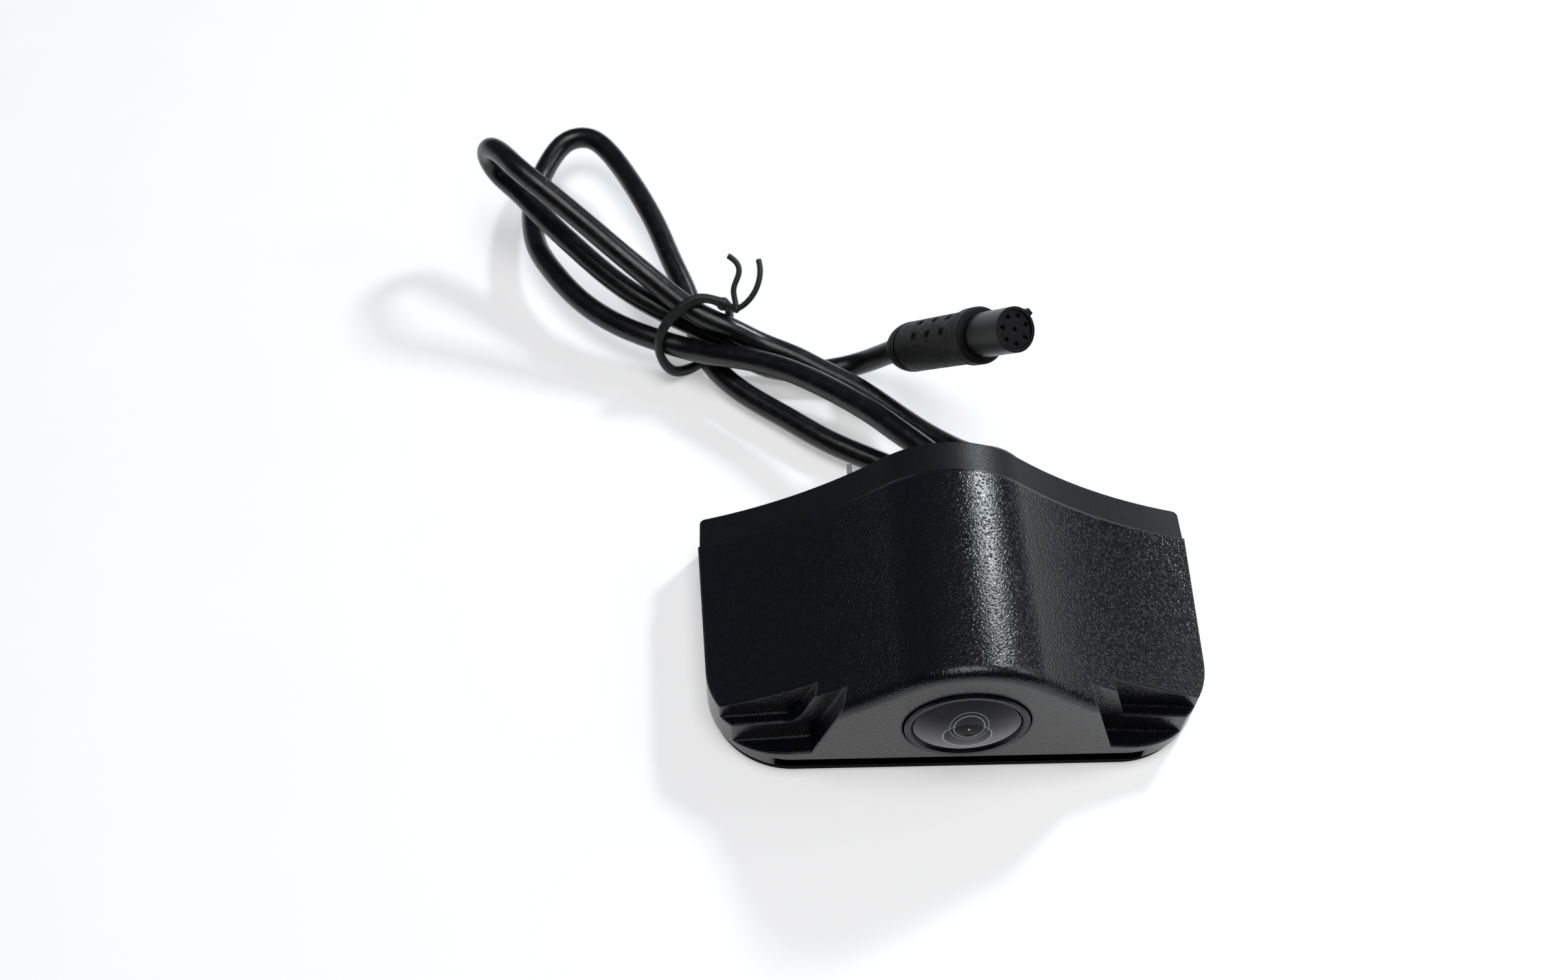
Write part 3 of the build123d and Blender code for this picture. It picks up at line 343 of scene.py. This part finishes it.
LOOKS = {
    COVER: ["front_cover"],
    BAND.mat: ["rear_base"],
    PLATE.mat: ["bottom_plate"],
    TAB.mat: ["locating_tab"],
    SEAL.mat: ["cover_seal", "lens_o_ring", "module_gasket", "cable_grommet"],
    STEEL.mat: ["cover_screws", "base_screws", "cap_screws", "module_screws", "board_posts"],
    BRASS.mat: ["mount_inserts"],
    RING.mat: ["lens_ring"],
    BARREL.mat: ["lens_barrel", "lens_retainer"],
    SPACER.mat: ["lens_spacer"],
    GLASS.mat: ["front_lens"],
    GLASS_IN.mat: ["second_lens", "third_lens", "rear_lens"],
    FILTER.mat: ["ir_filter"],
    MOULDED.mat: ["module_housing", "module_back_cap", "lens_holder", "connector_shell", "connector_insert"],
    SENSOR.mat: ["image_sensor"],
    BOARD.mat: ["sensor_board", "power_board"],
    COMPONENT.mat: ["board_link", "board_parts"],
    IVORY.mat: ["cable_socket"],
    WIRE.mat: ["wire_leads"],
    CABLE: ["cable_main", "cable_tail"],
    TIE.mat: ["twist_tie"],
    RUBBER: ["connector_boot", "connector_collar"],
    CONTACT.mat: ["contact_sockets"],
}
for mat, names in LOOKS.items():
    for name in names:
        mesh = NODES[name].data
        mesh.materials.clear()
        mesh.materials.append(mat)
        mesh.shade_smooth()
        mesh.set_sharp_from_angle(angle=SHARP_CAD)


# ---------------------------------------------------------------- mesh helpers
def smooth_path(points, steps=8):
    """Catmull-Rom curve through the points (mm), returned as an array."""
    p = np.array(points, float)
    p = np.vstack([2 * p[0] - p[1], p, 2 * p[-1] - p[-2]])
    out = []
    for i in range(1, len(p) - 2):
        for t in np.linspace(0, 1, steps, endpoint=False):
            a, b, c, d = p[i - 1:i + 3]
            out.append(0.5 * (2 * b + (c - a) * t + (2 * a - 5 * b + 4 * c - d) * t**2
                              + (3 * b - a - 3 * c + d) * t**3))
    out.append(p[-2])
    return np.array(out)


def tube(name, path, radii, mat, sides=32):
    """Closed tube along path (mm) with a radius at each point."""
    tangent = np.gradient(path, axis=0)
    tangent /= np.linalg.norm(tangent, axis=1)[:, None]
    up = np.array([0.0, 0.0, 1.0])
    verts, faces = [], []
    side = np.cross(tangent[0], up)
    side /= np.linalg.norm(side)
    for k, (p, t) in enumerate(zip(path, tangent)):
        side = side - t * side.dot(t)
        side /= np.linalg.norm(side)
        other = np.cross(t, side)
        for j in range(sides):
            a = 2 * math.pi * j / sides
            verts.append((p + radii[k] * (math.cos(a) * side + math.sin(a) * other)) * MM)
    for k in range(len(path) - 1):
        for j in range(sides):
            a, b = k * sides + j, k * sides + (j + 1) % sides
            faces.append((a, b, b + sides, a + sides))
    faces.append(tuple(reversed(range(sides))))
    faces.append(tuple(range((len(path) - 1) * sides, len(path) * sides)))
    return mesh_object(name, verts, faces, mat)


def mesh_object(name, verts, faces, mat):
    mesh = bpy.data.meshes.new(name)
    mesh.from_pydata([tuple(v) for v in verts], [], faces)
    mesh.validate()
    mesh.materials.append(mat)
    mesh.shade_smooth()
    mesh.set_sharp_from_angle(angle=SHARP_TUBE)
    obj = bpy.data.objects.new(name, mesh)
    bpy.context.scene.collection.objects.link(obj)
    return obj


# ---------------------------------------------------------------- lead, tie to plug
joints = {j["name"]: j for j in frame["joints"]}
PIVOT = np.array(joints["cable_bend"]["pos_m"]) / MM
BOOT = np.array(joints["connector_bend"]["pos_m"]) / MM
plug = [m for m in frame["record"]["mounts"] if m["name"] == "plug"][0]
PLUG_DIR = np.array(plug["axis"])
HEADING = np.array([0.88, -0.37, -0.38])
HEADING /= np.linalg.norm(HEADING)
JACKET_R = 2.02
START_R = 1.9
SPLIT_X = -20.6
lead = smooth_path([
    PIVOT - HEADING * 2.2,
    PIVOT,
    (-28.0, 58.0, 3.2),
    (SPLIT_X, 56.8, 2.3),
    (-14.8, 57.0, 2.8),
    (-9.8, 57.0, 4.6),
    BOOT - PLUG_DIR * 0.9,
    BOOT + PLUG_DIR * 0.8,
], 9)
split = int(np.argmin(np.abs(lead[:, 0] - SPLIT_X)))
radii = np.full(len(lead), JACKET_R)
radii[0] = START_R
lead_bend = tube("lead_bend", lead[:split + 2], radii[:split + 2], CABLE)
radii = np.full(len(lead), JACKET_R)
lead_entry = tube("lead_entry", lead[split:], radii[split:], CABLE)
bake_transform(lead_bend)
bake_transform(lead_entry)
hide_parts("cable_tail")


# ---------------------------------------------------------------- tie: second strand and bare wire end
TIE_LOOP = [
    (-34.7, 62.0, 14.8), (-38.8, 62.5, 15.2), (-41.8, 61.3, 14.2), (-44.4, 59.9, 12.1), (-46.0, 58.3, 9.4),
    (-45.9, 57.0, 6.0), (-43.6, 57.2, 2.1), (-39.2, 60.2, 0.72), (-35.5, 63.2, 2.4), (-34.0, 64.4, 7.0),
    (-34.0, 63.8, 12.0), (-34.5, 62.6, 14.2),
]


def wound(path, centre, offset, turns, first=0.0):
    """A line beside the path, starting outside it and winding round it a few turns."""
    tangent = np.gradient(path, axis=0)
    tangent /= np.linalg.norm(tangent, axis=1)[:, None]
    out = path - np.array(centre)
    out -= tangent * (out * tangent).sum(axis=1)[:, None]
    out /= np.linalg.norm(out, axis=1)[:, None]
    side = np.cross(tangent, out)
    angle = (first + 2 * math.pi * turns * np.linspace(0, 1, len(path)))[:, None]
    return path + offset * (np.cos(angle) * out + np.sin(angle) * side)


tie_path = smooth_path(TIE_LOOP, 10)
tie_strand = tube("tie_strand", wound(tie_path, (-39.8, 60.5, 8.0), 0.5, 0.9, -0.4),
                  np.full(len(tie_path), 0.78), TIE.mat, 20)
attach(tie_strand, "housing")
wire_line = smooth_path([(-34.9, 61.7, 15.6), (-35.0, 61.4, 16.1), (-34.9, 61.15, 16.35)], 5)
tie_wire = tube("tie_wire", wire_line, np.full(len(wire_line), 0.2), STEEL.mat, 12)
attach(tie_wire, "housing")


# ---------------------------------------------------------------- parting line between cover and base
def rear_rim(node, inset=0.03, foot=3.0):
    """Line over the outside of a shell at its rear edge, from foot to foot (mm)."""
    obj = NODES[node]
    verts = [obj.matrix_world @ v.co / MM for v in obj.data.vertices]
    tree = BVHTree.FromPolygons(verts, [tuple(f.vertices) for f in obj.data.polygons])
    y = max(v.y for v in verts) - inset
    half = max(v.x for v in verts)
    aims = [(Vector((-half - 5, y, z)), Vector((1, 0, 0))) for z in np.arange(foot, 12.0, 1.0)]
    aims += [(Vector((x, y, 60)), Vector((0, 0, -1))) for x in np.linspace(0.3 - half, half - 0.3, 160)]
    aims += [(Vector((half + 5, y, z)), Vector((-1, 0, 0))) for z in np.arange(12.0, foot, -1.0)]
    return np.array([tree.ray_cast(start, way)[0] for start, way in aims])


rim = rear_rim("front_cover")
SHADOW = plain("parting_shadow", (0.001, 0.001, 0.001), 0.8, grain=3.0, depth=0.01)
SHADOW.set(Specular_IOR_Level=0.1)
parting_line = tube("parting_line", rim, np.full(len(rim), 0.16), SHADOW.mat, 8)
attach(parting_line, "housing")


# ---------------------------------------------------------------- studio
def area_light(name, place, aim, size, power, color=(1, 1, 1)):
    data = bpy.data.lights.new(name, "AREA")
    data.energy = power
    data.color = color
    data.shape = "SQUARE"
    data.size = size
    obj = bpy.data.objects.new(name, data)
    obj.location = place
    obj.rotation_mode = "QUATERNION"
    obj.rotation_quaternion = (Vector(aim) - Vector(place)).to_track_quat("-Z", "Y")
    bpy.context.scene.collection.objects.link(obj)
    return obj


def table_top():
    """Pale flat table, large enough not to end in view, faintly lit through like a product table."""
    s = Shader("table_white", (0.86, 0.86, 0.86), 0.55)
    s.set(Emission_Color=(1.0, 1.0, 1.0, 1.0), Emission_Strength=0.38)
    s.color(s.tint(s.noise(0.02, 4.0), (0.84, 0.84, 0.845), (0.88, 0.88, 0.88)))
    s.bump(s.noise(1.5, 3.0), 0.01, 0.2)
    s.roughness(s.remap(s.noise(0.05, 3.0), 0.3, 0.7, 0.5, 0.65))
    n, half = 24, 1.6
    under = -0.04 * MM
    verts = []
    for i in range(n + 1):
        for j in range(n + 1):
            x, y = (2 * i / n - 1) * half, (2 * j / n - 1) * half
            verts.append((x, y, under))
    faces = []
    for i in range(n):
        for j in range(n):
            a = i * (n + 1) + j
            faces.append((a, a + n + 1, a + n + 2, a + 1))
    return mesh_object("table_top", verts, faces, s.mat)


table_top()
area_light("overhead", (0.02, -0.15, 1.40), (0, 0.02, 0.0), 0.80, 9.6)
area_light("key_right", (0.55, 0.12, 0.36), (0, 0.03, 0.0), 0.20, 0.5)
area_light("back_right", (0.30, 0.36, 0.38), (0, 0.0, 0.01), 0.07, 1.5, (0.9, 0.96, 1.0))


def studio_world():
    """Soft room light: bright in front of the object, dim behind it, a little brighter behind right."""
    world = bpy.data.worlds.new("studio")
    world.use_nodes = True
    tree = world.node_tree
    tree.nodes.clear()

    def node(kind, **inputs):
        n = tree.nodes.new(kind)
        for key, v in inputs.items():
            n.inputs[key.replace("_", " ")].default_value = v
        return n

    coords = node("ShaderNodeTexCoord")
    axes = node("ShaderNodeSeparateXYZ")
    front = node("ShaderNodeMapRange", From_Min=0.35, From_Max=-0.25)
    front.interpolation_type = "SMOOTHSTEP"
    side = node("ShaderNodeMapRange", From_Min=-0.1, From_Max=0.9)
    side.interpolation_type = "SMOOTHSTEP"
    background = node("ShaderNodeBackground")
    output = node("ShaderNodeOutputWorld")
    rear_mix = tree.nodes.new("ShaderNodeMix")
    rear_mix.data_type = "RGBA"
    all_mix = tree.nodes.new("ShaderNodeMix")
    all_mix.data_type = "RGBA"
    rear_mix.inputs[6].default_value = (0.075, 0.079, 0.1, 1)
    rear_mix.inputs[7].default_value = (0.025, 0.034, 0.05, 1)
    all_mix.inputs[7].default_value = (0.03, 0.031, 0.036, 1)
    tree.links.new(coords.outputs["Generated"], axes.inputs[0])
    tree.links.new(axes.outputs["Y"], front.inputs["Value"])
    tree.links.new(axes.outputs["X"], side.inputs["Value"])
    tree.links.new(side.outputs["Result"], rear_mix.inputs[0])
    tree.links.new(rear_mix.outputs[2], all_mix.inputs[6])
    tree.links.new(front.outputs["Result"], all_mix.inputs[0])
    tree.links.new(all_mix.outputs[2], background.inputs["Color"])
    tree.links.new(background.outputs[0], output.inputs[0])
    return world


bpy.context.scene.world = studio_world()
bpy.context.scene.view_settings.view_transform = "Standard"

# ---------------------------------------------------------------- camera
ELEVATION = math.radians(53.89)
YAW = math.radians(-2.15)
ROLL = math.radians(0.77)
DISTANCE = 0.24507
TARGET = Vector((-0.02502, 0.02474, 0.01046))
level = math.cos(ELEVATION)
back = Vector((math.sin(YAW) * level, -math.cos(YAW) * level, math.sin(ELEVATION)))
x_dir = Vector((0, 0, 1)).cross(back).normalized()
y_dir = back.cross(x_dir)
right = x_dir * math.cos(ROLL) + y_dir * math.sin(ROLL)
up = y_dir * math.cos(ROLL) - x_dir * math.sin(ROLL)
cam_data = bpy.data.cameras.new("camera")
cam_data.lens = 34.61
cam_data.sensor_width = 36.0
cam_data.dof.use_dof = True
cam_data.dof.focus_distance = 0.216
cam_data.dof.aperture_fstop = 36.0
cam_data.clip_start = 0.005
cam_data.clip_end = 20
cam = bpy.data.objects.new("camera", cam_data)
bpy.context.scene.collection.objects.link(cam)
turn = Matrix((right, up, back)).transposed().to_4x4()
cam.matrix_world = Matrix.Translation(TARGET + back * DISTANCE) @ turn
bpy.context.scene.camera = cam
